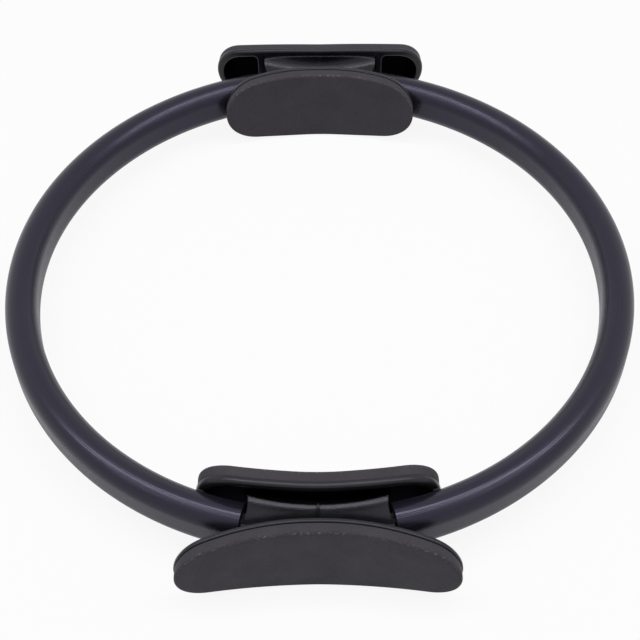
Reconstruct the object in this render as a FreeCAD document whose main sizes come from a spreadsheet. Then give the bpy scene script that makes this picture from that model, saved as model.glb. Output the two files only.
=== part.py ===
import FreeCAD, Part
import Sketcher
import os
from math import atan2, pi

# A pilates ring that lies flat: two sprung half hoops and two handles, +Z up.
# The floor is z 0, the ring's axis is Z, and the far handle is on +Y. Lengths are in millimetres.

DIMENSIONS = [
    ("ring_diameter", 380.0, "hoop across the outside of the sleeves"),
    ("sleeve_width", 19.0, "sleeve across its section, radially"),
    ("sleeve_height", 28.4, "sleeve section, top to bottom"),
    ("leaf_thickness", 2.8, "one spring leaf"),
    ("leaf_height", 16.0, "leaf strip, edge to edge"),
    ("leaf_spacing", 0.4, "between the two leaves of a half hoop"),
    ("leaf_clearance", 0.25, "around the leaves in sleeve and collar"),
    ("leaf_end_gap", 5.0, "between left and right leaves inside a collar"),
    ("collar_length", 72.4, "barrel between the sleeve ends, at its waist"),
    ("collar_height", 27.0, "barrel, top to bottom, at its waist"),
    ("collar_waist_radius", 230.0, "hollow run of the barrel's top and bottom"),
    ("collar_end_radius", 30.0, "hollow run of the barrel's ends, in plan"),
    ("collar_end_setback", 7.4, "inner seat to the narrowest place of the barrel's ends"),
    ("collar_fillet", 10.0, "rise of the barrel's top and bottom towards both trays"),
    ("collar_flare_reach", 4.7, "inner tray's back to where that rise would end, inside the tray"),
    ("collar_step", 1.5, "inner tray's back to the barrel's step"),
    ("collar_neck_height", 15.0, "barrel's neck from its step into the inner tray, top to bottom"),
    ("collar_rib_width", 1.2, "rib along the middle of the barrel's top and bottom"),
    ("collar_rib_height", 0.7, "rib above the barrel"),
    ("flange_length", 77.8, "collar flange in the outer tray"),
    ("flange_depth", 5.0, "collar flange behind the outer tray's dish"),
    ("flange_gap", 0.3, "collar flange to the walls of the outer tray"),
    ("post_width", 4.6, "outer tray's posts beside the flange"),
    ("window_corner", 3.0, "corners of the outer tray's windows, at the posts"),
    ("sleeve_end_gap", 1.2, "sleeve end to the collar's waist at the hoop's inner wall"),
    ("sleeve_saddle_gap", 0.8, "sleeve to the saddle cut in the trays"),
    ("inner_standoff", 11.1, "hoop's inner wall to the inner pad's face"),
    ("inner_face_radius", 175.0, "inner pad's face in plan"),
    ("inner_length", 130.4, "inner tray, end to end"),
    ("inner_height", 54.8, "inner tray, top to bottom"),
    ("inner_straight", 24.0, "flat middle of the inner tray's long edges"),
    ("inner_foam", 6.6, "inner pad's thickness"),
    ("inner_rim_depth", 3.6, "inner tray, front to back"),
    ("inner_rim_wall", 4.0, "wall of the inner tray's rim"),
    ("outer_standoff", 6.4, "hoop's outer wall to the outer pad's face"),
    ("outer_face_radius", 211.0, "outer pad's face in plan"),
    ("outer_length", 147.4, "outer tray, end to end"),
    ("outer_height", 54.4, "outer tray, top to bottom"),
    ("outer_straight", 10.0, "flat middle of the outer tray's long edges"),
    ("outer_foam", 6.2, "outer pad's thickness"),
    ("outer_rim_depth", 3.1, "outer tray, front to back"),
    ("outer_rim_wall", 4.4, "wall of the outer tray's rim"),
    ("tray_plate", 1.5, "floor and walls of a tray's dish"),
    ("dish_depth", 3.4, "dish of a tray, sunk into the back of the foam"),
    ("rim_edge", 0.6, "rounding of a tray's front edge"),
    ("rim_back_edge", 2.0, "rounding of a tray's back edge"),
    ("foam_inset", 0.6, "foam's edge inside the tray's edge"),
    ("foam_edge", 2.5, "rounding of the foam's front edge"),
    ("seat_clearance", 0.15, "between seated faces"),
    ("screw_diameter", 3.4, "tray screw's shank"),
    ("screw_length", 11.0, "tray screw, head and shank"),
    ("screw_head_diameter", 6.4, "countersunk head"),
    ("screw_head_height", 1.3, "countersunk head"),
    ("screw_recess", 0.4, "head below the dish's floor, at the screw's axis"),
    ("screw_clearance", 0.1, "around a screw"),
    ("screw_spread", 36.0, "between the screws along the handle"),
    ("inner_screw_rows", 8.0, "between the two rows of the inner tray's screws"),
    ("outer_screw_rows", 21.4, "between the two rows of the outer tray's screws"),
    ("pin_diameter", 4.0, "leaf pin"),
    ("pin_clearance", 0.2, "around a pin"),
    ("pin_cover", 4.4, "pin's ends to the trays' dishes"),
    ("pin_first", 10.0, "centre of the handle to the first pin"),
    ("pin_pitch", 16.0, "first pin to the second"),
    ("overrun", 2.0, "how far a cut runs past what it cuts"),
]

HANDLE_TURNS = {"far": 0, "near": 180}
HOOP_TURNS = {"right": 0, "left": 180}
SIDES = (-1, 1)
# A pad's end radius as a share of half its height.
END_SHARES = {"inner": 0.91, "outer": 0.79}
# Where along an edge it is tested, and how far off a face it may be, as a share of the face's radius.
TEST_SHARES = (0.0, 0.37, 1.0)
OFF_FACE_SHARE = 1e-6

doc = FreeCAD.newDocument("pilates_ring")
sheet = doc.addObject("Spreadsheet::Sheet", "sizes")
for row, (alias, size, meaning) in enumerate(DIMENSIONS, start=1):
    sheet.set(f"A{row}", meaning)
    sheet.set(f"B{row}", str(size))
    sheet.setAlias(f"B{row}", alias)
doc.recompute()

# Places worked out from the sheet, as expressions.
MID = "(max(sizes.inner_height; sizes.outer_height) / 2)"
HOOP = "((sizes.ring_diameter - sizes.sleeve_width) / 2)"
HOOP_INSIDE = "(sizes.ring_diameter / 2 - sizes.sleeve_width)"
INNER_FACE = f"({HOOP_INSIDE} - sizes.inner_standoff)"
OUTER_FACE = "(sizes.ring_diameter / 2 + sizes.outer_standoff)"
PAD_AXIS = {
    "inner": f"({INNER_FACE} - sizes.inner_face_radius)",
    "outer": f"({OUTER_FACE} + sizes.outer_face_radius)",
}
PAD_FACE = {"inner": INNER_FACE, "outer": OUTER_FACE}
INWARD = {"inner": 1, "outer": -1}
FOAM_BACK = {kind: f"(sizes.{kind}_face_radius + sizes.{kind}_foam)" for kind in INWARD}
RIM_FRONT = {kind: f"({FOAM_BACK[kind]} + sizes.seat_clearance)" for kind in INWARD}
RIM_BACK = {kind: f"({RIM_FRONT[kind]} + sizes.{kind}_rim_depth)" for kind in INWARD}
DISH_FRONT = {kind: f"({RIM_FRONT[kind]} - sizes.dish_depth)" for kind in INWARD}
DISH_BACK = {kind: f"({DISH_FRONT[kind]} + sizes.tray_plate)" for kind in INWARD}
COLLAR_SEAT = {kind: f"({DISH_BACK[kind]} + sizes.seat_clearance)" for kind in INWARD}
SEAT_PLACE = {
    "inner": f"({PAD_AXIS['inner']} + {COLLAR_SEAT['inner']})",
    "outer": f"({PAD_AXIS['outer']} - {COLLAR_SEAT['outer']})",
}
PAD_DEPTH = {kind: f"(sizes.{kind}_length + {RIM_BACK[kind]} - sizes.{kind}_face_radius)" for kind in INWARD}
PAD_START = {kind: f"({PAD_FACE[kind]} - {PAD_DEPTH[kind]} / 2)" for kind in INWARD}
END_RADIUS = {kind: f"({END_SHARES[kind]} * sizes.{kind}_height / 2)" for kind in INWARD}
END_REACH = {kind: f"(sizes.{kind}_length / 2 - {END_RADIUS[kind]})" for kind in INWARD}
EDGE_RISE = {kind: f"(sizes.{kind}_height / 2 - {END_RADIUS[kind]})" for kind in INWARD}
EDGE_RUN = {kind: f"({END_REACH[kind]} - sizes.{kind}_straight / 2)" for kind in INWARD}
EDGE_DROP = {kind: f"(({EDGE_RUN[kind]} ^ 2 / {EDGE_RISE[kind]} - {EDGE_RISE[kind]}) / 2)" for kind in INWARD}
SLEEVE_END_ANGLE = f"asin((sizes.collar_length / 2 + sizes.sleeve_end_gap) / {HOOP_INSIDE})"
LEAF_END_ANGLE = f"asin(sizes.leaf_end_gap / 2 / {HOOP})"
LEAF_PACK = "(2 * sizes.leaf_thickness + sizes.leaf_spacing)"


def value(expression):
    """The expression's present value."""
    result = sheet.evalExpression(expression)
    return float(getattr(result, "Value", result))


def bind(thing, **expressions):
    """Ties properties of a document object to expressions."""
    for name, expression in expressions.items():
        thing.setExpression(name.replace("__", "."), expression)
    return thing


def place(thing, x="0", y="0", z="0"):
    """Ties an object's place to expressions."""
    return bind(thing, Placement__Base__x=x, Placement__Base__y=y, Placement__Base__z=z)


def about_x(thing, degrees):
    thing.Placement.Rotation = FreeCAD.Rotation(FreeCAD.Vector(1, 0, 0), degrees)


def about_z(thing, degrees):
    thing.Placement = FreeCAD.Placement(FreeCAD.Vector(), FreeCAD.Rotation(FreeCAD.Vector(0, 0, 1), degrees))


def box(name, length, width, height, x, y, z):
    shape = bind(doc.addObject("Part::Box", name), Length=length, Width=width, Height=height)
    return place(shape, x, y, z)


def cylinder(name, radius, height, x, y, z):
    shape = bind(doc.addObject("Part::Cylinder", name), Radius=radius, Height=height)
    return place(shape, x, y, z)


def joined(kind, name, shapes):
    """A fusion or a compound of several shapes."""
    whole = doc.addObject(kind, name)
    if kind == "Part::Compound":
        whole.Links = shapes
    else:
        whole.Shapes = shapes
        whole.Refine = True
    return whole


def combined(kind, name, base, tool):
    """A cut or a common of two shapes."""
    whole = doc.addObject(kind, name)
    whole.Base = base
    whole.Tool = tool
    whole.Refine = True
    return whole


def rounded(name, base, radius, chosen):
    """Rounds the chosen edges of a shape."""
    doc.recompute()
    fillet = doc.addObject("Part::Fillet", name)
    fillet.Base = base
    size = value(radius)
    edges = enumerate(base.Shape.Edges, start=1)
    fillet.Edges = [(index, size, size) for index, edge in edges if chosen(edge)]
    return fillet


def sketch_on(body, name, role):
    """A sketch on one of the body's own origin planes."""
    sketch = body.newObject("Sketcher::SketchObject", name)
    plane = next(feature for feature in body.Origin.OriginFeatures if feature.Role == role)
    sketch.AttachmentSupport = [(plane, "")]
    sketch.MapMode = "FlatFace"
    return sketch


def hold(sketch, kind, *where_and_size):
    """Adds a dimension whose size is an expression."""
    *where, expression = where_and_size
    index = sketch.addConstraint(Sketcher.Constraint(kind, *where, value(expression)))
    sketch.setExpression(f"Constraints[{index}]", expression)


def polygon(sketch, corners):
    """A closed outline whose corners are pairs of expressions."""
    points = [FreeCAD.Vector(value(across), value(up), 0) for across, up in corners]
    first = sketch.GeometryCount
    count = len(points)
    for index in range(count):
        sketch.addGeometry(Part.LineSegment(points[index], points[(index + 1) % count]), False)
    for index in range(count):
        following = first + (index + 1) % count
        sketch.addConstraint(Sketcher.Constraint("Coincident", first + index, 2, following, 1))
    for index, (across, up) in enumerate(corners):
        hold(sketch, "DistanceX", -1, 1, first + index, 1, across)
        hold(sketch, "DistanceY", -1, 1, first + index, 1, up)


def rectangle(sketch, left, bottom, width, height):
    right = f"({left}) + ({width})"
    top = f"({bottom}) + ({height})"
    polygon(sketch, [(left, bottom), (right, bottom), (right, top), (left, top)])


def stadium(sketch, centre, radius, height):
    """An upright slot shape about the mid height: two lines and two half circles."""
    reach = f"(({height}) / 2 - ({radius}))"
    x, r = value(centre), value(radius)
    low, high = value(f"{MID} - {reach}"), value(f"{MID} + {reach}")
    across = FreeCAD.Vector(r, 0, 0)
    bottom, top = FreeCAD.Vector(x, low, 0), FreeCAD.Vector(x, high, 0)
    axis = FreeCAD.Vector(0, 0, 1)
    sketch.addGeometry(Part.LineSegment(bottom + across, top + across), False)
    sketch.addGeometry(Part.ArcOfCircle(Part.Circle(top, axis, r), 0, pi), False)
    sketch.addGeometry(Part.LineSegment(top - across, bottom - across), False)
    sketch.addGeometry(Part.ArcOfCircle(Part.Circle(bottom, axis, r), pi, 2 * pi), False)
    for index in range(4):
        sketch.addConstraint(Sketcher.Constraint("Tangent", index, 2, (index + 1) % 4, 1))
    sketch.addConstraint(Sketcher.Constraint("Vertical", 0))
    hold(sketch, "Radius", 1, radius)
    hold(sketch, "DistanceX", -1, 1, 1, 3, centre)
    hold(sketch, "DistanceY", -1, 1, 1, 3, f"{MID} + {reach}")
    hold(sketch, "DistanceY", -1, 1, 3, 3, f"{MID} - {reach}")


def turned(name, draw, end_angle):
    """A half hoop on the +X side: a section turned about the ring's axis, short of Y by the end angle."""
    body = doc.addObject("PartDesign::Body", name)
    sketch = sketch_on(body, f"{name}_section", "XZ_Plane")
    draw(sketch)
    hoop = body.newObject("PartDesign::Revolution", f"{name}_hoop")
    hoop.Profile = sketch
    hoop.ReferenceAxis = (sketch, ["V_Axis"])
    hoop.Midplane = True
    bind(hoop, Angle=f"180 deg - 2 * {end_angle}")
    return body


def leaf_slot_section(sketch):
    """The bore that both leaves share."""
    width = f"{LEAF_PACK} + 2 * sizes.leaf_clearance"
    height = "sizes.leaf_height + 2 * sizes.leaf_clearance"
    rectangle(sketch, f"{HOOP} - ({width}) / 2", f"{MID} - ({height}) / 2", width, height)


def sleeve_section(sketch):
    stadium(sketch, HOOP, "sizes.sleeve_width / 2", "sizes.sleeve_height")
    leaf_slot_section(sketch)


def saddle_section(sketch):
    """The room that a tray leaves around the sleeve."""
    radius = "sizes.sleeve_width / 2 + sizes.sleeve_saddle_gap"
    stadium(sketch, HOOP, radius, "sizes.sleeve_height + 2 * sizes.sleeve_saddle_gap")


def leaf_section(layer):
    """One leaf of the pair: layer -1 is the inner one, 1 the outer one."""
    left = f"{HOOP} + {layer} * (sizes.leaf_thickness + sizes.leaf_spacing) / 2 - sizes.leaf_thickness / 2"
    bottom = f"{MID} - sizes.leaf_height / 2"
    return lambda sketch: rectangle(sketch, left, bottom, "sizes.leaf_thickness", "sizes.leaf_height")


def pins(name, grow, turn):
    """Pins along Y through a collar and the leaf ends in it."""
    start = f"{SEAT_PLACE['inner']} + sizes.pin_cover"
    length = f"{SEAT_PLACE['outer']} - {SEAT_PLACE['inner']} - 2 * sizes.pin_cover"
    rods = []
    for side in SIDES:
        for index in range(2):
            x = f"{side} * (sizes.pin_first + {index} * sizes.pin_pitch)"
            rod = cylinder(f"{name}_rod", f"sizes.pin_diameter / 2 + {grow}", length, x, start, MID)
            about_x(rod, -90)
            rods.append(rod)
    group = joined("Part::Compound", name, rods)
    about_z(group, turn)
    return group


def screws(name, kind, grow, bored=False):
    """The four countersunk screws of one tray, or the holes for them, open at the front if bored."""
    inward = INWARD[kind]
    x_half = "sizes.screw_spread / 2"
    floor = f"sqrt({DISH_FRONT[kind]} ^ 2 - ({x_half}) ^ 2)"
    front = f"{PAD_AXIS[kind]} + {inward} * ({floor} + sizes.screw_recess)"
    group = []
    for side in SIDES:
        for row in SIDES:
            x = f"{side} * {x_half}"
            z = f"{MID} + {row} * sizes.{kind}_screw_rows / 2"
            head = bind(
                doc.addObject("Part::Cone", f"{name}_head"),
                Radius1=f"sizes.screw_head_diameter / 2 + {grow}",
                Radius2=f"sizes.screw_diameter / 2 + {grow}",
                Height="sizes.screw_head_height",
            )
            place(head, x, front, z)
            length = f"sizes.screw_length + {grow}"
            shank = cylinder(f"{name}_shank", f"sizes.screw_diameter / 2 + {grow}", length, x, front, z)
            shapes = [head, shank]
            if bored:
                mouth = f"{front} - {inward} * sizes.tray_plate"
                width = f"sizes.screw_head_diameter / 2 + {grow}"
                shapes.append(cylinder(f"{name}_bore", width, "sizes.tray_plate", x, mouth, z))
            for shape in shapes:
                about_x(shape, -90 * inward)
            group.append(joined("Part::MultiFuse", f"{name}_screw", shapes))
    return joined("Part::Compound", name, group)


def oval(sketch, kind, inset):
    """A pad's outline: long edges with flat middles and round ends, all run into each other."""
    end = f"({END_RADIUS[kind]} - {inset})"
    flat = f"(sizes.{kind}_straight / 2)"
    half_height = f"(sizes.{kind}_height / 2 - {inset})"
    reach, drop, middle = value(END_REACH[kind]), value(EDGE_DROP[kind]), value(MID)
    half_flat, rise = value(flat), value(half_height)
    split = atan2(drop, reach - half_flat)
    axis = FreeCAD.Vector(0, 0, 1)

    def arc(x, z, radius, start, stop):
        circle = Part.Circle(FreeCAD.Vector(x, z, 0), axis, radius)
        sketch.addGeometry(Part.ArcOfCircle(circle, start, stop), False)

    def hold_across(index, point, sign, expression):
        ends = ((-1, 1), (index, point))
        start, stop = ends if sign > 0 else ends[::-1]
        hold(sketch, "DistanceX", *start, *stop, expression)

    for sign, turn in ((1, 0), (-1, pi)):
        first = sketch.GeometryCount
        level = middle + sign * rise
        arc(sign * reach, middle, value(end), turn - split, turn + split)
        arc(sign * half_flat, middle - sign * drop, rise + drop, turn + split, turn + pi / 2)
        right, left = FreeCAD.Vector(sign * half_flat, level, 0), FreeCAD.Vector(-sign * half_flat, level, 0)
        sketch.addGeometry(Part.LineSegment(right, left), False)
        arc(-sign * half_flat, middle - sign * drop, rise + drop, turn + pi / 2, turn + pi - split)
        hold(sketch, "Radius", first, end)
        hold_across(first, 3, sign, END_REACH[kind])
        hold(sketch, "DistanceY", -1, 1, first, 3, MID)
        hold_across(first + 2, 1, sign, flat)
        hold_across(first + 2, 2, -sign, flat)
        hold(sketch, "DistanceY", -1, 1, first + 2, 1, f"{MID} + {sign} * {half_height}")
        sketch.addConstraint(Sketcher.Constraint("Horizontal", first + 2))
    count = sketch.GeometryCount
    for index in range(count):
        sketch.addConstraint(Sketcher.Constraint("Tangent", index, 2, (index + 1) % count, 1))


def outline(name, kind, inset, start, depth):
    """A prism along Y with a pad's outline."""
    sketch = doc.addObject("Sketcher::SketchObject", f"{name}_sketch")
    oval(sketch, kind, inset)
    about_x(sketch, 90)
    place(sketch, y=start)
    prism = bind(doc.addObject("Part::Extrusion", name), LengthFwd=depth)
    prism.Base = sketch
    prism.DirMode = "Custom"
    prism.Dir = FreeCAD.Vector(0, 1, 0)
    prism.Solid = True
    return prism


def drum(name, kind, radius):
    """An upright cylinder about the axis of a pad's curved face."""
    height = f"sizes.{kind}_height + 2 * sizes.overrun"
    return cylinder(name, radius, height, "0", PAD_AXIS[kind], f"{MID} - ({height}) / 2")


def slab(name, kind, inset, near_radius, far_radius):
    """What a pad's outline leaves between two curved faces."""
    prism = outline(f"{name}_outline", kind, inset, PAD_START[kind], PAD_DEPTH[kind])
    body = combined("Part::Common", f"{name}_body", prism, drum(f"{name}_back", kind, far_radius))
    return combined("Part::Cut", name, body, drum(f"{name}_front", kind, near_radius))


def on_drum(kind, radius):
    """Tells whether an edge lies on the curved face of that radius."""
    size, axis = value(radius), value(PAD_AXIS[kind])

    def chosen(edge):
        first, last = edge.ParameterRange
        points = [edge.valueAt(first + (last - first) * share) for share in TEST_SHARES]
        away = [abs((point.x ** 2 + (point.y - axis) ** 2) ** 0.5 - size) for point in points]
        return max(away) < size * OFF_FACE_SHARE

    return chosen


def foam_pad(name, kind, turn):
    """A pad with a rounded front edge, recessed at its back for the tray's dish."""
    whole = slab(f"{name}_whole", kind, "sizes.foam_inset", f"sizes.{kind}_face_radius", FOAM_BACK[kind])
    inset = f"(sizes.{kind}_rim_wall - sizes.tray_plate - sizes.seat_clearance)"
    recess = slab(f"{name}_recess", kind, inset, f"({FOAM_BACK[kind]} - sizes.dish_depth)",
                  f"({FOAM_BACK[kind]} + sizes.overrun)")
    blank = combined("Part::Cut", f"{name}_blank", whole, recess)
    pad = rounded(name, blank, "sizes.foam_edge", on_drum(kind, f"sizes.{kind}_face_radius"))
    about_z(pad, turn)
    return pad


def slice_of(name, room, kind, left, width):
    """The part of a pad's solid that lies in a band across it."""
    height = f"sizes.{kind}_height"
    band = box(f"{name}_band", width, PAD_DEPTH[kind], height, left, PAD_START[kind], f"{MID} - {height} / 2")
    return combined("Part::Common", name, room, band)


def hollows(name, kind):
    """The open back of a tray: one room, or a pocket for the collar's flange and a window on each side."""
    far_radius = f"{RIM_BACK[kind]} + sizes.overrun"
    room = slab(f"{name}_room", kind, f"sizes.{kind}_rim_wall", DISH_BACK[kind], far_radius)
    if kind == "inner":
        return [room]
    pocket_half = "(sizes.flange_length / 2 + sizes.flange_gap)"
    window_start = f"({pocket_half} + sizes.post_width)"
    window_length = f"(sizes.{kind}_length / 2 - {window_start})"
    window_edge, tiny = value(window_start), value("sizes.seat_clearance")

    def at_post(edge):
        ends = [vertex.Point for vertex in edge.Vertexes]
        beside = all(abs(abs(point.x) - window_edge) < tiny for point in ends)
        return beside and abs(ends[0].z - ends[-1].z) < tiny

    found = [slice_of(f"{name}_pocket", room, kind, f"-{pocket_half}", f"2 * {pocket_half}")]
    for left in (window_start, f"-{window_start} - {window_length}"):
        window = slice_of(f"{name}_window", room, kind, left, window_length)
        found.append(rounded(f"{name}_round_window", window, "sizes.window_corner", at_post))
    return found


def tray(name, kind, turn):
    """A dish under the foam with a rim behind the foam's edge, cut away where the sleeve passes."""
    blank = slab(f"{name}_blank", kind, "0", RIM_FRONT[kind], RIM_BACK[kind])
    front = rounded(f"{name}_front", blank, "sizes.rim_edge", on_drum(kind, RIM_FRONT[kind]))
    eased = rounded(f"{name}_eased", front, "sizes.rim_back_edge", on_drum(kind, RIM_BACK[kind]))
    inset = f"(sizes.{kind}_rim_wall - sizes.tray_plate)"
    middle = f"({RIM_FRONT[kind]} + sizes.{kind}_rim_depth / 2)"
    dish = slab(f"{name}_dish", kind, inset, DISH_FRONT[kind], middle)
    solid = joined("Part::MultiFuse", f"{name}_solid", [eased, dish])
    cuts = hollows(f"{name}_hollow", kind)
    for side, degrees in HOOP_TURNS.items():
        saddle = turned(f"{name}_{side}_saddle", saddle_section, LEAF_END_ANGLE)
        about_z(saddle, degrees)
        cuts.append(saddle)
    cuts.append(screws(f"{name}_holes", kind, "sizes.screw_clearance", bored=True))
    whole = combined("Part::Cut", name, solid, joined("Part::MultiFuse", f"{name}_cuts", cuts))
    about_z(whole, turn)
    return whole


def groove(name, side, start, depth, lift):
    """What hollows the collar's top or bottom between the trays, rounded at both ends."""
    height = "sizes.outer_height"
    width = "(sizes.flange_length + 2 * sizes.overrun)"
    room = box(f"{name}_room", width, depth, height, f"-{width} / 2", start, f"{MID} - {height} / 2")
    z = f"{MID} + {side} * (sizes.collar_height / 2 + {lift} + sizes.collar_waist_radius)"
    rod = cylinder(f"{name}_rod", "sizes.collar_waist_radius", depth, "0", start, z)
    about_x(rod, -90)
    trough = combined("Part::Common", f"{name}_trough", rod, room)
    ends = {
        "inner": f"({RIM_BACK['inner']} - sizes.collar_flare_reach)",
        "outer": f"({COLLAR_SEAT['outer']} + sizes.flange_depth)",
    }
    for kind, radius in ends.items():
        trough = combined("Part::Cut", f"{name}_{kind}_cut", trough, drum(f"{name}_{kind}_end", kind, radius))
    on_ends = [on_drum(kind, radius) for kind, radius in ends.items()]
    middle, reach = value(MID), value(f"{height} / 2 - sizes.seat_clearance")

    def along_waist(edge):
        inside = all(abs(vertex.Z - middle) < reach for vertex in edge.Vertexes)
        return inside and any(on_end(edge) for on_end in on_ends)

    return rounded(name, trough, "sizes.collar_fillet", along_waist)


def collar(name, turn):
    """A barrel with a slot for the leaves, a neck in the inner tray and a flange in the outer one."""
    start = f"({INNER_FACE} - sizes.flange_length / 2)"
    depth = f"({OUTER_FACE} + sizes.flange_length / 2 - {start})"
    prism = outline(f"{name}_outline", "outer", "(sizes.outer_rim_wall + sizes.flange_gap)", start, depth)
    reach = box(f"{name}_reach", "sizes.flange_length", depth, "sizes.outer_height",
                "-sizes.flange_length / 2", start, f"{MID} - sizes.outer_height / 2")
    body = combined("Part::Common", f"{name}_block", prism, reach)
    for side in SIDES:
        end_x = f"{side} * (sizes.collar_length / 2 + sizes.collar_end_radius)"
        end_y = f"{SEAT_PLACE['inner']} + sizes.collar_end_setback"
        end = cylinder(f"{name}_end", "sizes.collar_end_radius", "sizes.outer_height", end_x, end_y,
                       f"{MID} - sizes.outer_height / 2")
        body = combined("Part::Cut", f"{name}_ended", body, end)
        plate = box(f"{name}_plate", "sizes.collar_rib_width", depth, "sizes.outer_height",
                    "-sizes.collar_rib_width / 2", start, f"{MID} - sizes.outer_height / 2")
        above = groove(f"{name}_above_rib", side, start, depth, "sizes.collar_rib_height")
        rib = combined("Part::Cut", f"{name}_rib", plate, above)
        waist = groove(f"{name}_waist", side, start, depth, "0")
        ribbed = combined("Part::Cut", f"{name}_ribbed", waist, rib)
        body = combined("Part::Cut", f"{name}_waisted", body, ribbed)
    below_seat = f"({COLLAR_SEAT['inner']} - sizes.overrun)"
    mouth = slab(f"{name}_mouth", "inner", "0", below_seat, f"({RIM_BACK['inner']} + sizes.collar_step)")
    neck = box(f"{name}_neck", "sizes.flange_length", PAD_DEPTH["inner"], "sizes.collar_neck_height",
               "-sizes.flange_length / 2", PAD_START["inner"], f"{MID} - sizes.collar_neck_height / 2")
    cuts = [combined("Part::Cut", f"{name}_step", mouth, neck)]
    cuts += [drum(f"{name}_{kind}_seat", kind, COLLAR_SEAT[kind]) for kind in INWARD]
    for side, degrees in HOOP_TURNS.items():
        slot = turned(f"{name}_{side}_slot", leaf_slot_section, "0 deg")
        about_z(slot, degrees)
        cuts.append(slot)
    cuts.append(pins(f"{name}_pin_holes", "sizes.pin_clearance", 0))
    cuts += [screws(f"{name}_{kind}_holes", kind, "sizes.screw_clearance") for kind in INWARD]
    whole = combined("Part::Cut", name, body, joined("Part::MultiFuse", f"{name}_cuts", cuts))
    about_z(whole, turn)
    return whole


def leaf(name, layer, turn):
    """A spring leaf, holed at both ends for the pins."""
    strip = turned(f"{name}_strip", leaf_section(layer), LEAF_END_ANGLE)
    holes = []
    for handle, degrees in HANDLE_TURNS.items():
        holes.append(pins(f"{name}_{handle}_holes", "sizes.pin_clearance", degrees))
    whole = combined("Part::Cut", name, strip, joined("Part::MultiFuse", f"{name}_holes", holes))
    about_z(whole, turn)
    return whole


def build():
    """Every node of the part, by name."""
    nodes = {}
    for side, turn in HOOP_TURNS.items():
        nodes[f"{side}_sleeve"] = turned(f"{side}_sleeve", sleeve_section, SLEEVE_END_ANGLE)
        about_z(nodes[f"{side}_sleeve"], turn)
        for layer, kind in ((-1, "inner"), (1, "outer")):
            nodes[f"{side}_{kind}_leaf"] = leaf(f"{side}_{kind}_leaf", layer, turn)
    for handle, turn in HANDLE_TURNS.items():
        nodes[f"{handle}_collar"] = collar(f"{handle}_collar", turn)
        nodes[f"{handle}_leaf_pins"] = pins(f"{handle}_leaf_pins", "0", turn)
        for kind in INWARD:
            nodes[f"{handle}_{kind}_tray"] = tray(f"{handle}_{kind}_tray", kind, turn)
            nodes[f"{handle}_{kind}_pad"] = foam_pad(f"{handle}_{kind}_pad", kind, turn)
            group = screws(f"{handle}_{kind}_screws", kind, "0")
            about_z(group, turn)
            nodes[f"{handle}_{kind}_screws"] = group
    return nodes


def check(nodes):
    """Stops on a failed object or an unsound shape."""
    for thing in doc.Objects:
        if "Invalid" in thing.State or "Error" in thing.State:
            raise RuntimeError(f"{thing.Name} failed: {thing.State}")
    for name, thing in nodes.items():
        if thing.Shape.isNull() or not thing.Shape.isValid():
            raise RuntimeError(f"{name} has no sound shape")


parts = build()
for label, node in parts.items():
    node.Label = label
doc.recompute()
check(parts)
os.makedirs("parts", exist_ok=True)
for label, node in parts.items():
    node.Shape.exportStep(os.path.join("parts", f"{label}.step"))
    print(label, len(node.Shape.Solids), round(node.Shape.Volume, 1))
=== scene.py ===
import math

import bmesh
import bpy
from mathutils import Matrix, Vector

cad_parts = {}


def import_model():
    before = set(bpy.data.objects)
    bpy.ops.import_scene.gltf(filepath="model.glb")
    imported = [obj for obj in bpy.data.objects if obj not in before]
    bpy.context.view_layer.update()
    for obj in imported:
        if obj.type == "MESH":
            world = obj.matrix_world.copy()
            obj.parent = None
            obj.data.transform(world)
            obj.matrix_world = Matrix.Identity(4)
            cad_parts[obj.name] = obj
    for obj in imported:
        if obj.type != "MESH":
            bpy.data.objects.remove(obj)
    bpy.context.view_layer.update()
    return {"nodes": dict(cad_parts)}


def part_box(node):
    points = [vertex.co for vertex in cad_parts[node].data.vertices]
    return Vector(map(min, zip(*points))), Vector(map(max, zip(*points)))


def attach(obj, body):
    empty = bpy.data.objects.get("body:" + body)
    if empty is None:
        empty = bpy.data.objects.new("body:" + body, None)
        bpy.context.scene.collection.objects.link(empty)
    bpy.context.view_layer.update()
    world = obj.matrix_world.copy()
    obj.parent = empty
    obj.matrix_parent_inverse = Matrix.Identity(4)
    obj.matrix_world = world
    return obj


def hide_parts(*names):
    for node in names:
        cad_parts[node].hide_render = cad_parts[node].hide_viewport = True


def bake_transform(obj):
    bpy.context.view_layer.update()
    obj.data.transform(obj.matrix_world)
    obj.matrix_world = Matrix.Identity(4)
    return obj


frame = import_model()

# Sizes in metres. What the frame holds is read from it.
MM = 0.001
SLEEVE_LOW, SLEEVE_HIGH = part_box("right_sleeve")
MID = (SLEEVE_LOW.z + SLEEVE_HIGH.z) / 2
SLEEVE_HEIGHT = SLEEVE_HIGH.z - SLEEVE_LOW.z
SLEEVE_WIDTH = 19.0 * MM
RING_RADIUS = SLEEVE_HIGH.x
HOOP = RING_RADIUS - SLEEVE_WIDTH / 2
LEAF_LOW, LEAF_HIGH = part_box("right_inner_leaf")
LEAF_HEIGHT = LEAF_HIGH.z - LEAF_LOW.z
LEAF_THICKNESS = 2.8 * MM
LEAF_SPACING = 0.4 * MM
LEAF_RADIUS = HOOP + LEAF_SPACING / 2 + LEAF_THICKNESS
BORE_CLEARANCE = 0.25 * MM

# Angles along the hoop, from the middle of a handle to the ends of the sleeve and the leaves.
SLEEVE_END = math.acos(SLEEVE_HIGH.y / RING_RADIUS)
LEAF_END = math.acos(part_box("right_outer_leaf")[1].y / LEAF_RADIUS)

# The side of the ring: a handle's sign on Y, and a half hoop's sign on X.
HANDLES = {"far": 1, "near": -1}
HOOPS = {"right": 1, "left": -1}

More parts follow.
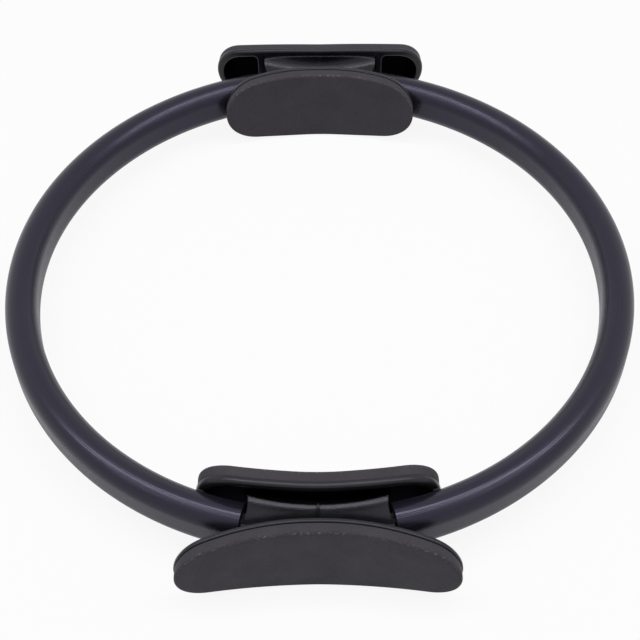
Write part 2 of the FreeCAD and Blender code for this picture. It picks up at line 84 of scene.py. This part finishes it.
# Each pad's foam thickness, and the radius of its curved face. Seen from the face, the curve's axis lies
# towards the ring's middle where inward is 1, and away from it where inward is -1.
# straight is the flat middle of a long side, and end_share an end's radius in shares of half the height.
# edge rounds the front of the foam, and recess is how far its hollow back lies inside its outline.
PADS = {
    "inner": {
        "foam": 6.6 * MM,
        "radius": 175.0 * MM,
        "inward": 1,
        "straight": 24.0 * MM,
        "end_share": 0.91,
        "edge": 1.3 * MM,
        "recess": 1.75 * MM,
    },
    "outer": {
        "foam": 6.2 * MM,
        "radius": 211.0 * MM,
        "inward": -1,
        "straight": 10.0 * MM,
        "end_share": 0.79,
        "edge": 2.0 * MM,
        "recess": 2.15 * MM,
    },
}


def face_axis(kind):
    """Where the axis of a far pad's curved face lies on Y."""
    low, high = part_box(f"far_{kind}_pad")
    pad = PADS[kind]
    face = high.y - pad["foam"] if kind == "inner" else low.y + pad["foam"]
    return face - pad["inward"] * pad["radius"]


FACE_AXES = {kind: face_axis(kind) for kind in PADS}


# Materials. Scales are in cells to the metre, and most of a noise lies in its range.

NOISE_RANGE = (0.3, 0.7)
COOL_TINT = (0.76, 0.71, 1.0, 1.0)
COOL_SHEEN = (0.62, 0.64, 1.0, 1.0)
PLASTIC_TINT = (0.84, 0.81, 0.94, 1.0)
PLASTIC_DARK = (0.004, 0.004, 0.005)
EASED_EDGE = 1.6 * MM
EASE_SAMPLES = 8
# The painted shade that blacks out a tray's hollow fades out between these depths behind the foam's back.
HOLLOW_SHADE_FADE = (-0.6 * MM, 0.4 * MM)
# Painted shade: a black colour and a dull roughness that stand in for the shadow in a tray's hollow.
HOLLOW_PAINTED_SHADE = (0.001, 0.001, 0.0012)
HOLLOW_SHADE_ROUGHNESS = 0.8
# The way over a pad's side from its back to its shoulder, and how far the rubs reach from there.
FOAM_SHOULDER = 6.0 * MM
RUBS_BELOW = 1.2 * MM
RUBS_ABOVE = 2.0 * MM
# The colour sockets of a Mix node, which share their names with its other sockets.
MIX_BASE, MIX_OVER, MIX_COLOUR = 6, 7, 2


class Nodes:
    """A node tree under construction."""

    def __init__(self, tree):
        self.nodes = tree.nodes
        self.links = tree.links

    def add(self, kind, **settings):
        """A node, with its settings and the values of its inputs."""
        node = self.nodes.new(kind)
        for name, setting in settings.items():
            if name in node.inputs:
                node.inputs[name].default_value = setting
            else:
                setattr(node, name, setting)
        return node

    def join(self, output, target):
        """A link from an output to an input."""
        self.links.new(output, target)

    def calculate(self, operation, *values):
        """The result of a Math node on outputs and numbers."""
        node = self.add("ShaderNodeMath", operation=operation)
        for value, target in zip(values, node.inputs):
            if isinstance(value, bpy.types.NodeSocket):
                self.join(value, target)
            else:
                target.default_value = value
        return node.outputs["Value"]

    def seen(self):
        """1 where the camera, a reflection or a see-through surface looks, and 0 for other light."""
        path = self.add("ShaderNodeLightPath")
        share = path.outputs["Is Camera Ray"]
        for kind in ("Is Glossy Ray", "Is Transmission Ray"):
            share = self.calculate("MAXIMUM", share, path.outputs[kind])
        return share

    def mix_shaders(self, share, below, above):
        """The shader below, with that share of the one above."""
        node = self.add("ShaderNodeMixShader")
        for output, target in zip((share, below, above), node.inputs):
            self.join(output, target)
        return node.outputs["Shader"]


class Finish(Nodes):
    """A node material under construction."""

    def __init__(self, name):
        self.material = bpy.data.materials.new(name)
        self.material.use_nodes = True
        super().__init__(self.material.node_tree)
        self.shader = self.nodes["Principled BSDF"]

    def coordinates(self, kind="Object", scale=(1, 1, 1)):
        """Places on the object, or in its texture for UV, times a scale."""
        source = self.add("ShaderNodeTexCoord")
        mapping = self.add("ShaderNodeMapping", Scale=scale)
        self.join(source.outputs[kind], mapping.inputs["Vector"])
        return mapping.outputs["Vector"]

    def split(self, vector):
        """The outputs X, Y and Z of a vector."""
        node = self.add("ShaderNodeSeparateXYZ")
        self.join(vector, node.inputs["Vector"])
        return node.outputs

    def noise(self, vector, scale=1.0, detail=3.0, roughness=0.6):
        """A soft cloudy noise."""
        node = self.add("ShaderNodeTexNoise", Scale=scale, Detail=detail, Roughness=roughness)
        self.join(vector, node.inputs["Vector"])
        return node.outputs["Fac"]

    def cells(self, vector, scale):
        """The distance to the nearest of many scattered points."""
        node = self.add("ShaderNodeTexVoronoi", Scale=scale)
        self.join(vector, node.inputs["Vector"])
        return node.outputs["Distance"]

    def ramp(self, factor, dark, light, between=NOISE_RANGE):
        """A colour from dark to light as the factor goes through the range between."""
        node = self.add("ShaderNodeValToRGB")
        for element, position, colour in zip(node.color_ramp.elements, between, (dark, light)):
            element.position = position
            element.color = (*colour, 1)
        self.join(factor, node.inputs["Fac"])
        return node.outputs["Color"]

    def span(self, factor, low, high, between=(0.0, 1.0)):
        """A number from low to high as the factor goes through the range between."""
        node = self.add("ShaderNodeMapRange")
        for name, limit in zip(("From Min", "From Max", "To Min", "To Max"), (*between, low, high)):
            node.inputs[name].default_value = limit
        self.join(factor, node.inputs["Value"])
        return node.outputs["Result"]

    def bump(self, height, distance, strength, below=None):
        """A normal with a relief, over the normal below if there is one."""
        node = self.add("ShaderNodeBump", Distance=distance, Strength=strength)
        self.join(height, node.inputs["Height"])
        if below is not None:
            self.join(below, node.inputs["Normal"])
        return node.outputs["Normal"]

    def eased(self):
        """A normal that rounds sharp edges."""
        return self.add("ShaderNodeBevel", samples=EASE_SAMPLES, Radius=EASED_EDGE).outputs["Normal"]

    def blend(self, factor, base, over):
        """A colour over a base where the factor is 1."""
        node = self.add("ShaderNodeMix", data_type="RGBA")
        self.join(factor, node.inputs["Factor"])
        self.join(base, node.inputs[MIX_BASE])
        node.inputs[MIX_OVER].default_value = (*over, 1)
        return node.outputs[MIX_COLOUR]

    def complete(self, colour, roughness, normal, **constants):
        """The material, with constants for the shader's other inputs."""
        self.join(colour, self.shader.inputs["Base Color"])
        self.join(roughness, self.shader.inputs["Roughness"])
        self.join(normal, self.shader.inputs["Normal"])
        for name, constant in constants.items():
            self.shader.inputs[name.replace("_", " ")].default_value = constant
        return self.material


def shoulder_rubs(made):
    """Where the foam is rubbed pale: specks in patches along its shoulder."""
    specks = made.noise(made.coordinates("UV", scale=(520, 900, 1)), roughness=0.7)
    patches = made.noise(made.coordinates("UV", scale=(35, 0, 0)), detail=2.0)
    across = made.split(made.coordinates("UV"))["Y"]
    bounds = (
        made.span(specks, 0.0, 1.0, between=(0.53, 0.66)),
        made.span(patches, 0.0, 1.0, between=(0.36, 0.56)),
        made.span(across, 0.0, 1.0, between=(FOAM_SHOULDER - RUBS_BELOW, FOAM_SHOULDER)),
        made.span(across, 1.0, 0.0, between=(FOAM_SHOULDER, FOAM_SHOULDER + RUBS_ABOVE)),
    )
    rubs = bounds[0]
    for bound in bounds[1:]:
        rubs = made.calculate("MULTIPLY", rubs, bound)
    return rubs


def foam_material():
    """Dense black closed-cell foam: matte, with a fine speckle, tiny pores and a rubbed shoulder."""
    made = Finish("foam")
    place = made.coordinates()
    speckle = made.noise(place, scale=1500, detail=2.0)
    cloud = made.noise(place, scale=60)
    pores = made.cells(place, scale=1100)
    shades = {"dark": (0.0285, 0.0255, 0.032), "light": (0.044, 0.0395, 0.05)}
    skin = made.ramp(speckle, **shades, between=(0.3, 0.72))
    colour = made.blend(shoulder_rubs(made), skin, over=(0.15, 0.144, 0.142))
    roughness = made.span(cloud, low=0.72, high=0.86, between=NOISE_RANGE)
    grain = made.bump(speckle, distance=0.12 * MM, strength=0.5)
    normal = made.bump(pores, distance=0.1 * MM, strength=0.35, below=grain)
    soft = {"Specular_IOR_Level": 0.3, "Sheen_Weight": 0.05, "Sheen_Roughness": 0.5}
    return made.complete(colour, roughness, normal, **soft)


def plastic(made, light, gloss, grain_size, grain_depth):
    """Moulded black plastic with a spark-eroded grain: its colour, roughness and normal."""
    place = made.coordinates()
    grain = made.noise(place, scale=1 / grain_size, detail=2.0)
    cloud = made.noise(place, scale=45)
    colour = made.ramp(cloud, PLASTIC_DARK, light)
    roughness = made.span(cloud, low=gloss - 0.03, high=gloss + 0.05, between=NOISE_RANGE)
    normal = made.bump(grain, grain_depth, strength=0.6, below=made.eased())
    return colour, roughness, normal


def collar_material():
    """A collar's plastic: glossy, with a coarse grain that glitters."""
    made = Finish("collar_plastic")
    grain = {"grain_size": 0.9 * MM, "grain_depth": 0.12 * MM}
    surface = plastic(made, light=(0.009, 0.009, 0.011), gloss=0.24, **grain)
    return made.complete(*surface, IOR=1.36, Specular_Tint=PLASTIC_TINT)


def axis_distance(made, kind):
    """How far a point of either handle lies from the axis of its pad's curved face."""
    place = made.split(made.coordinates())
    away = made.calculate("SUBTRACT", made.calculate("ABSOLUTE", place["Y"]), FACE_AXES[kind])
    flat = made.add("ShaderNodeCombineXYZ")
    made.join(place["X"], flat.inputs["X"])
    made.join(away, flat.inputs["Y"])
    distance = made.add("ShaderNodeVectorMath", operation="LENGTH")
    made.join(flat.outputs["Vector"], distance.inputs["Vector"])
    return distance.outputs["Value"]


def tray_material(kind):
    """A tray's plastic: a fine grain on the rim, and painted shade in its hollow: a black, metallic, dull
    floor that shows almost no light.
    """
    made = Finish(f"{kind}_tray_plastic")
    grain = {"grain_size": 0.6 * MM, "grain_depth": 0.05 * MM}
    skin, roughness, normal = plastic(made, light=(0.009, 0.009, 0.01), gloss=0.32, **grain)
    foam_back = PADS[kind]["radius"] + PADS[kind]["foam"]
    fade = [foam_back + depth for depth in HOLLOW_SHADE_FADE]
    # Painted shade: the hollow's floor is made black, metallic and dull, so it stays dark as if in shadow.
    hollow_shade = made.span(axis_distance(made, kind), 1.0, 0.0, between=fade)
    made.join(hollow_shade, made.shader.inputs["Metallic"])
    colour = made.blend(hollow_shade, skin, HOLLOW_PAINTED_SHADE)
    shaded_roughness = made.calculate("MAXIMUM", roughness, made.span(hollow_shade, 0.0, HOLLOW_SHADE_ROUGHNESS))
    return made.complete(colour, shaded_roughness, normal, IOR=1.42, Specular_Tint=PLASTIC_TINT)


def rubber_material():
    """Extruded rubber: faint streaks along the hoop, a soft gloss and a cool tint."""
    made = Finish("sleeve_rubber")
    streaks = made.noise(made.coordinates("UV", scale=(9, 1400, 1)))
    place = made.coordinates()
    cloud = made.noise(place, scale=38)
    dust = made.noise(place, scale=2600, detail=1.0)
    colour = made.ramp(streaks, dark=(0.008, 0.0075, 0.012), light=(0.014, 0.0132, 0.02))
    roughness = made.span(cloud, low=0.2, high=0.27, between=NOISE_RANGE)
    lines = made.bump(streaks, distance=0.04 * MM, strength=0.3)
    normal = made.bump(dust, distance=0.03 * MM, strength=0.25, below=lines)
    sheen = {"Sheen_Weight": 0.06, "Sheen_Roughness": 0.3, "Sheen_Tint": COOL_SHEEN}
    return made.complete(colour, roughness, normal, IOR=1.43, Specular_Tint=COOL_TINT, **sheen)


def cut_rubber_material():
    """The sleeve's sawn ends: duller than its skin."""
    made = Finish("cut_rubber")
    saw = made.noise(made.coordinates(), scale=900)
    colour = made.ramp(saw, dark=(0.006, 0.006, 0.007), light=(0.014, 0.014, 0.016))
    roughness = made.span(saw, low=0.75, high=0.9)
    normal = made.bump(saw, distance=0.2 * MM, strength=0.5)
    return made.complete(colour, roughness, normal, Specular_IOR_Level=0.3)


def steel_material():
    """Zinc plated steel."""
    made = Finish("zinc_steel")
    brush = made.noise(made.coordinates(), scale=700)
    colour = made.ramp(brush, dark=(0.46, 0.46, 0.47), light=(0.6, 0.6, 0.6))
    roughness = made.span(brush, low=0.28, high=0.42)
    normal = made.bump(brush, distance=0.02 * MM, strength=0.3)
    return made.complete(colour, roughness, normal, Metallic=1.0)


def laminate_material():
    """Black pultruded strip: long fibres under a dull resin skin."""
    made = Finish("glass_fibre")
    fibres = made.noise(made.coordinates("UV", scale=(20, 2200, 1)))
    colour = made.ramp(fibres, dark=(0.005, 0.005, 0.005), light=(0.014, 0.014, 0.014))
    roughness = made.span(fibres, low=0.5, high=0.65)
    normal = made.bump(fibres, distance=0.03 * MM, strength=0.4)
    return made.complete(colour, roughness, normal, Specular_IOR_Level=0.3)


FOAM = foam_material()
TRAYS = {kind: tray_material(kind) for kind in PADS}
COLLAR = collar_material()
RUBBER = rubber_material()
CUT_RUBBER = cut_rubber_material()
STEEL = steel_material()
LAMINATE = laminate_material()


# Mesh helpers

def new_piece(name, bm, *materials):
    """A new object in the scene from a bmesh."""
    mesh = bpy.data.meshes.new(name)
    bm.normal_update()
    bm.to_mesh(mesh)
    bm.free()
    piece = bpy.data.objects.new(name, mesh)
    bpy.context.scene.collection.objects.link(piece)
    for material in materials:
        mesh.materials.append(material)
    return piece


def closed_piece(name, bm, *materials):
    """A new object from a closed bmesh, with its faces turned outwards."""
    bmesh.ops.recalc_face_normals(bm, faces=bm.faces[:])
    return new_piece(name, bm, *materials)


def dress(node, material):
    """Gives a CAD node its finish."""
    slots = frame["nodes"][node].data.materials
    slots.clear()
    slots.append(material)


def walls(bm, rings, runs, around, run_first=False, flat_levels=0):
    """Walls between rings of points, smooth after the first flat levels.

    A corner's place in the texture is its way around the ring and its ring's run, or the run first.
    """
    uv = bm.loops.layers.uv.verify()
    for level, (ring, following) in enumerate(zip(rings, rings[1:])):
        for index in range(len(ring)):
            other = (index + 1) % len(ring)
            face = bm.faces.new((ring[index], ring[other], following[other], following[index]))
            face.smooth = level >= flat_levels
            ways = (around[index], around[index + 1], around[index + 1], around[index])
            levels = (runs[level], runs[level], runs[level + 1], runs[level + 1])
            places = zip(levels, ways) if run_first else zip(ways, levels)
            for loop, place in zip(face.loops, places):
                loop[uv].uv = place


# Sleeves and leaves, in halves that meet at the hoop's middle

RIB_PITCH = 1.05 * MM
RIB_DEPTH_TOP = 0.03 * MM
RIB_DEPTH_SIDE = 0.12 * MM
RIB_POINTS = 4
HOOP_STEPS = 80
# The two halves of a sleeve or leaf stop this far short of the hoop's middle.
MEETING_GAP = 0.01 * MM
MIDDLE_ANGLE = math.pi / 2 - MEETING_GAP / HOOP
LEAF_LAYERS = {"inner": -1, "outer": 1}


def sleeve_outline():
    """The ribbed stadium outline of a sleeve: outward and upward offsets, and the way around."""
    radius = SLEEVE_WIDTH / 2
    side = SLEEVE_HEIGHT - SLEEVE_WIDTH
    arc = math.pi * radius
    length = 2 * (side + arc)
    points = round(length / RIB_PITCH) * RIB_POINTS
    outline = []
    for index in range(points):
        distance = length * index / points
        valley = 0.5 - 0.5 * math.cos(2 * math.pi * index / RIB_POINTS)
        if distance < side:
            turn, middle = 0.0, distance - side / 2
        elif distance < side + arc:
            turn, middle = (distance - side) / radius, side / 2
        elif distance < 2 * side + arc:
            turn, middle = math.pi, side / 2 - (distance - side - arc)
        else:
            turn, middle = math.pi + (distance - 2 * side - arc) / radius, -side / 2
        upright = math.cos(turn) ** 2
        sunk = radius - valley * (RIB_DEPTH_TOP + (RIB_DEPTH_SIDE - RIB_DEPTH_TOP) * upright)
        outline.append((sunk * math.cos(turn), middle + sunk * math.sin(turn), distance))
    return outline


def box_outline(width, height, centre=0.0):
    """A rectangle's corners as offsets, one height apart in the texture."""
    corners = [(1, -1), (1, 1), (-1, 1), (-1, -1)]
    return [
        (centre + out * width / 2, up * height / 2, index * height)
        for index, (out, up) in enumerate(corners)
    ]


def sweep(bm, outline, side, end, start_angle):
    """Walls along half a hoop, from its handle to its middle. Returns the loops of points at both ends."""
    rings, runs = [], []
    for step in range(HOOP_STEPS + 1):
        angle = start_angle + (MIDDLE_ANGLE - start_angle) * step / HOOP_STEPS
        across, along = side * math.sin(angle), end * math.cos(angle)
        places = [(across * (HOOP + out), along * (HOOP + out), MID + up) for out, up, way in outline]
        rings.append([bm.verts.new(place) for place in places])
        runs.append(angle * HOOP)
    around = [way for out, up, way in outline]
    around.append(around[-1] + around[1] - around[0])
    walls(bm, rings, runs, around, run_first=True)
    return rings[0], rings[-1]


def cap(bm, loops, material_index=0):
    """Closes an end between loops of points, with crisp edges."""
    edges = [bm.edges.get(pair) for loop in loops for pair in zip(loop, loop[1:] + loop[:1])]
    for edge in edges:
        edge.smooth = False
    filled = bmesh.ops.triangle_fill(bm, edges=edges, use_beauty=True, use_dissolve=False)
    for face in filled["geom"]:
        if isinstance(face, bmesh.types.BMFace):
            face.material_index = material_index
            face.smooth = False


def sleeve_half(name, side, end):
    """Half a sleeve, with its slot bore."""
    bm = bmesh.new()
    bore_width = 2 * LEAF_THICKNESS + LEAF_SPACING + 2 * BORE_CLEARANCE
    bore_outline = box_outline(bore_width, LEAF_HEIGHT + 2 * BORE_CLEARANCE)
    outer = sweep(bm, sleeve_outline(), side, end, SLEEVE_END)
    bore = sweep(bm, bore_outline, side, end, SLEEVE_END)
    for loops in zip(outer, bore):
        cap(bm, loops, material_index=1)
    return closed_piece(name, bm, RUBBER, CUT_RUBBER)


def leaf_half(name, side, end, layer):
    """Half a leaf, in the inner or outer layer."""
    bm = bmesh.new()
    centre = layer * (LEAF_THICKNESS + LEAF_SPACING) / 2
    for loop in sweep(bm, box_outline(LEAF_THICKNESS, LEAF_HEIGHT, centre), side, end, LEAF_END):
        cap(bm, [loop])
    for face in bm.faces:
        face.smooth = False
    return closed_piece(name, bm, LAMINATE)


def bend_half(piece):
    """Bakes the half's placement into its mesh."""
    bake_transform(piece)


for side_name, side in HOOPS.items():
    for handle, end in HANDLES.items():
        half = sleeve_half(f"{side_name}_sleeve_{handle}_half", side, end)
        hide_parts(f"{side_name}_sleeve")
        bend_half(half)
        for kind, layer in LEAF_LAYERS.items():
            strip = leaf_half(f"{side_name}_{kind}_leaf_{handle}_half", side, end, layer)
            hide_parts(f"{side_name}_{kind}_leaf")
            bend_half(strip)


# Foam pads

FOAM_BACK_EDGE = 0.4 * MM
FOAM_CROWN = 0.4 * MM
DISH_DEPTH = 3.4 * MM
# The floor, the wall and the flat edge of the recess for the tray's dish.
DISH_LEVELS = 3
BACK_EDGE_STEPS = 3
EDGE_STEPS = 6
FACE_STEPS = 14
END_STEPS = 44
LONG_STEPS = 40
FLAT_STEPS = 12
MERGE_DISTANCE = 0.005 * MM


def pad_outline(kind):
    """Round a pad's foam: the centre, radius and turn of each point, all four corners alike."""
    low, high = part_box(f"far_{kind}_tray")
    half_length, half_height = (high.x - low.x) / 2, (high.z - low.z) / 2
    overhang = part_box(f"far_{kind}_pad")[1].x - high.x
    flat = PADS[kind]["straight"] / 2
    end_radius = PADS[kind]["end_share"] * half_height
    reach, rise = half_length - end_radius, half_height - end_radius
    run = reach - flat
    drop = (run ** 2 / rise - rise) / 2
    split = math.atan2(drop, run)
    points = []
    for sign, start in ((1, 0.0), (-1, math.pi)):
        for step in range(END_STEPS):
            points.append((sign * reach, 0.0, end_radius, start + split * (2 * step / END_STEPS - 1)))
        for step in range(LONG_STEPS):
            turn = start + split + (math.pi / 2 - split) * step / LONG_STEPS
            points.append((sign * flat, -sign * drop, half_height + drop, turn))
        for step in range(FLAT_STEPS):
            along = sign * flat * (1 - 2 * step / FLAT_STEPS)
            points.append((along, 0.0, half_height, start + math.pi / 2))
        for step in range(LONG_STEPS):
            turn = start + math.pi / 2 + (math.pi / 2 - split) * step / LONG_STEPS
            points.append((-sign * flat, -sign * drop, half_height + drop, turn))
    return [(x, z, radius + overhang, turn) for x, z, radius, turn in points]


def inside(outline, inset):
    """The outline's points, moved that far inwards."""
    return [
        (x + (radius - inset) * math.cos(turn), z + (radius - inset) * math.sin(turn))
        for x, z, radius, turn in outline
    ]


def pad_place(kind, end, x, z, depth):
    """A point of a pad: x along the handle, z from its middle, depth behind its curved face."""
    pad = PADS[kind]
    y = FACE_AXES[kind] + pad["inward"] * math.sqrt((pad["radius"] + depth) ** 2 - x ** 2)
    return end * x, end * y, MID + z


def pad_profile(kind):
    """From the back edge over the rounded front edge: the distance in from the outline, and the depth."""
    foam, edge = PADS[kind]["foam"], PADS[kind]["edge"]
    profile = []
    for step in range(BACK_EDGE_STEPS + 1):
        turn = math.pi / 2 * step / BACK_EDGE_STEPS
        inset = FOAM_BACK_EDGE * (1 - math.sin(turn))
        profile.append((inset, foam - FOAM_BACK_EDGE * (1 - math.cos(turn))))
    for step in range(EDGE_STEPS + 1):
        turn = math.pi / 2 * step / EDGE_STEPS
        profile.append((edge * (1 - math.cos(turn)), edge * (1 - math.sin(turn))))
    return profile


def pad_rings(kind, outline):
    """The rings of a pad, from the middle of its recess round its edge to the middle of its face.

    Each has its points along and up the pad, their depth, and the run to them over the pad's section.
    """
    low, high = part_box(f"far_{kind}_pad")
    foam, recess = PADS[kind]["foam"], PADS[kind]["recess"]
    edge = inside(outline, PADS[kind]["edge"])
    spine = (high.x - low.x - high.z + low.z) / 2
    roots = [(max(-spine, min(spine, x)), 0.0) for x, z in edge]
    dish = inside(outline, recess)
    rings = [
        (roots, foam - DISH_DEPTH, -(2 * recess + DISH_DEPTH)),
        (dish, foam - DISH_DEPTH, -(recess + DISH_DEPTH)),
        (dish, foam, -recess),
    ]
    run = 0.0
    profile = pad_profile(kind)
    for before, (inset, depth) in zip(profile[:1] + profile, profile):
        run += math.dist(before, (inset, depth))
        rings.append((inside(outline, inset), depth, run))
    for step in range(1, FACE_STEPS + 1):
        share = 1 - step / FACE_STEPS
        places = [
            (root + (x - root) * share, z * share) for (x, z), (root, middle) in zip(edge, roots)
        ]
        face_run = run + (high.z - low.z) / 2 * (1 - share)
        rings.append((places, -FOAM_CROWN * (1 - share ** 2), face_run))
    return rings


def foam_pad(handle, kind):
    """A crowned foam pad, with a recess at its back for the tray's dish."""
    node = f"{handle}_{kind}_pad"
    end = HANDLES[handle]
    outline = pad_outline(kind)
    edge = inside(outline, PADS[kind]["edge"])
    around = [0.0]
    for first, second in zip(edge, edge[1:] + edge[:1]):
        around.append(around[-1] + math.dist(first, second))
    bm = bmesh.new()
    rings, runs = [], []
    for places, depth, run in pad_rings(kind, outline):
        rings.append([bm.verts.new(pad_place(kind, end, x, z, depth)) for x, z in places])
        runs.append(run)
    walls(bm, rings, runs, around, flat_levels=DISH_LEVELS)
    bmesh.ops.remove_doubles(bm, verts=bm.verts[:], dist=MERGE_DISTANCE)
    pad = closed_piece(f"{node}_foam", bm, FOAM)
    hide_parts(node)
    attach(pad, f"{handle}_handle")


for handle in HANDLES:
    for kind in PADS:
        foam_pad(handle, kind)
        dress(f"{handle}_{kind}_tray", TRAYS[kind])
        dress(f"{handle}_{kind}_screws", STEEL)
    dress(f"{handle}_collar", COLLAR)
    dress(f"{handle}_leaf_pins", STEEL)


# Stage and light

WHITE = (1, 1, 1, 1)
FLOOR_HALF = 6.0
FLOOR_PALE = (0.75, 0.75, 0.75, 1)
FLOOR_ROUGHNESS = 0.9
# The share of plain white in the floor where it is seen. The rest shows the shadow.
FLOOR_SHOWN = 0.9
SURROUNDINGS = 0.3
STRIPS = {
    "top_strip": {"place": (0, 0, 1.25), "size": (2.6, 0.22), "power": 15.5},
    "front_strip": {"place": (0, -0.45, 1.2), "size": (2.6, 0.1), "power": 4},
}


def floor():
    """A wide pale floor that shows white and keeps a faint shadow of the object."""
    bm = bmesh.new()
    corners = [(-1, -1), (1, -1), (1, 1), (-1, 1)]
    bm.faces.new([bm.verts.new((x * FLOOR_HALF, y * FLOOR_HALF, 0)) for x, y in corners])
    made = Finish("floor_white")
    made.shader.inputs["Base Color"].default_value = FLOOR_PALE
    made.shader.inputs["Roughness"].default_value = FLOOR_ROUGHNESS
    shown = made.add("ShaderNodeEmission")
    share = made.calculate("MULTIPLY", made.seen(), FLOOR_SHOWN)
    surface = made.mix_shaders(share, made.shader.outputs["BSDF"], shown.outputs["Emission"])
    made.join(surface, made.nodes["Material Output"].inputs["Surface"])
    new_piece("floor", bm, made.material)


def world():
    """Even white surroundings, pure white where the camera or a reflection sees them."""
    surroundings = bpy.data.worlds.new("studio")
    surroundings.use_nodes = True
    made = Nodes(surroundings.node_tree)
    backdrop = made.nodes["Background"]
    backdrop.inputs["Color"].default_value = WHITE
    backdrop.inputs["Strength"].default_value = SURROUNDINGS
    shown = made.add("ShaderNodeBackground", Color=WHITE)
    surface = made.mix_shaders(made.seen(), backdrop.outputs["Background"], shown.outputs["Background"])
    made.join(surface, made.nodes["World Output"].inputs["Surface"])
    bpy.context.scene.world = surroundings


def strip_light(name, place, size, power):
    """A long soft light that points at the middle of the floor."""
    light = bpy.data.lights.new(name, "AREA")
    light.shape = "RECTANGLE"
    light.size, light.size_y = size
    light.energy = power
    lamp = bpy.data.objects.new(name, light)
    lamp.location = place
    lamp.rotation_euler = (-Vector(place)).to_track_quat("-Z", "Y").to_euler()
    bpy.context.scene.collection.objects.link(lamp)


# The photograph's camera, fitted to the hoop's outline at its real size. Angles are in radians.

PHOTO_WIDTH = 640
PHOTO_CENTRE = (319.18, 275.5)
FOCAL_PIXELS = 1267.6
SENSOR = 36.0
CAMERA_DISTANCE = 0.780
CAMERA_ELEVATION = 0.8358
CAMERA_AZIMUTH = 0.0139
CAMERA_ROLL = -0.015
CLIP_START, CLIP_END = 0.01, 50


def camera():
    """A camera at the photograph's viewing angle, aimed at the ring's middle."""
    data = bpy.data.cameras.new("photo_camera")
    data.sensor_width = SENSOR
    data.lens = FOCAL_PIXELS / PHOTO_WIDTH * SENSOR
    data.shift_x = 0.5 - PHOTO_CENTRE[0] / PHOTO_WIDTH
    data.shift_y = PHOTO_CENTRE[1] / PHOTO_WIDTH - 0.5
    data.clip_start, data.clip_end = CLIP_START, CLIP_END
    lens = bpy.data.objects.new("photo_camera", data)
    flat, height = math.cos(CAMERA_ELEVATION), math.sin(CAMERA_ELEVATION)
    back = Vector((math.sin(CAMERA_AZIMUTH) * flat, -math.cos(CAMERA_AZIMUTH) * flat, height))
    turn = (-back).to_track_quat("-Z", "Y").to_matrix() @ Matrix.Rotation(CAMERA_ROLL, 3, "Z")
    place = Vector((0, 0, MID)) + back * CAMERA_DISTANCE
    lens.matrix_world = Matrix.Translation(place) @ turn.to_4x4()
    bpy.context.scene.collection.objects.link(lens)
    bpy.context.scene.camera = lens


floor()
world()
camera()
for name, strip in STRIPS.items():
    strip_light(name, **strip)
bpy.context.scene.view_settings.view_transform = "Standard"
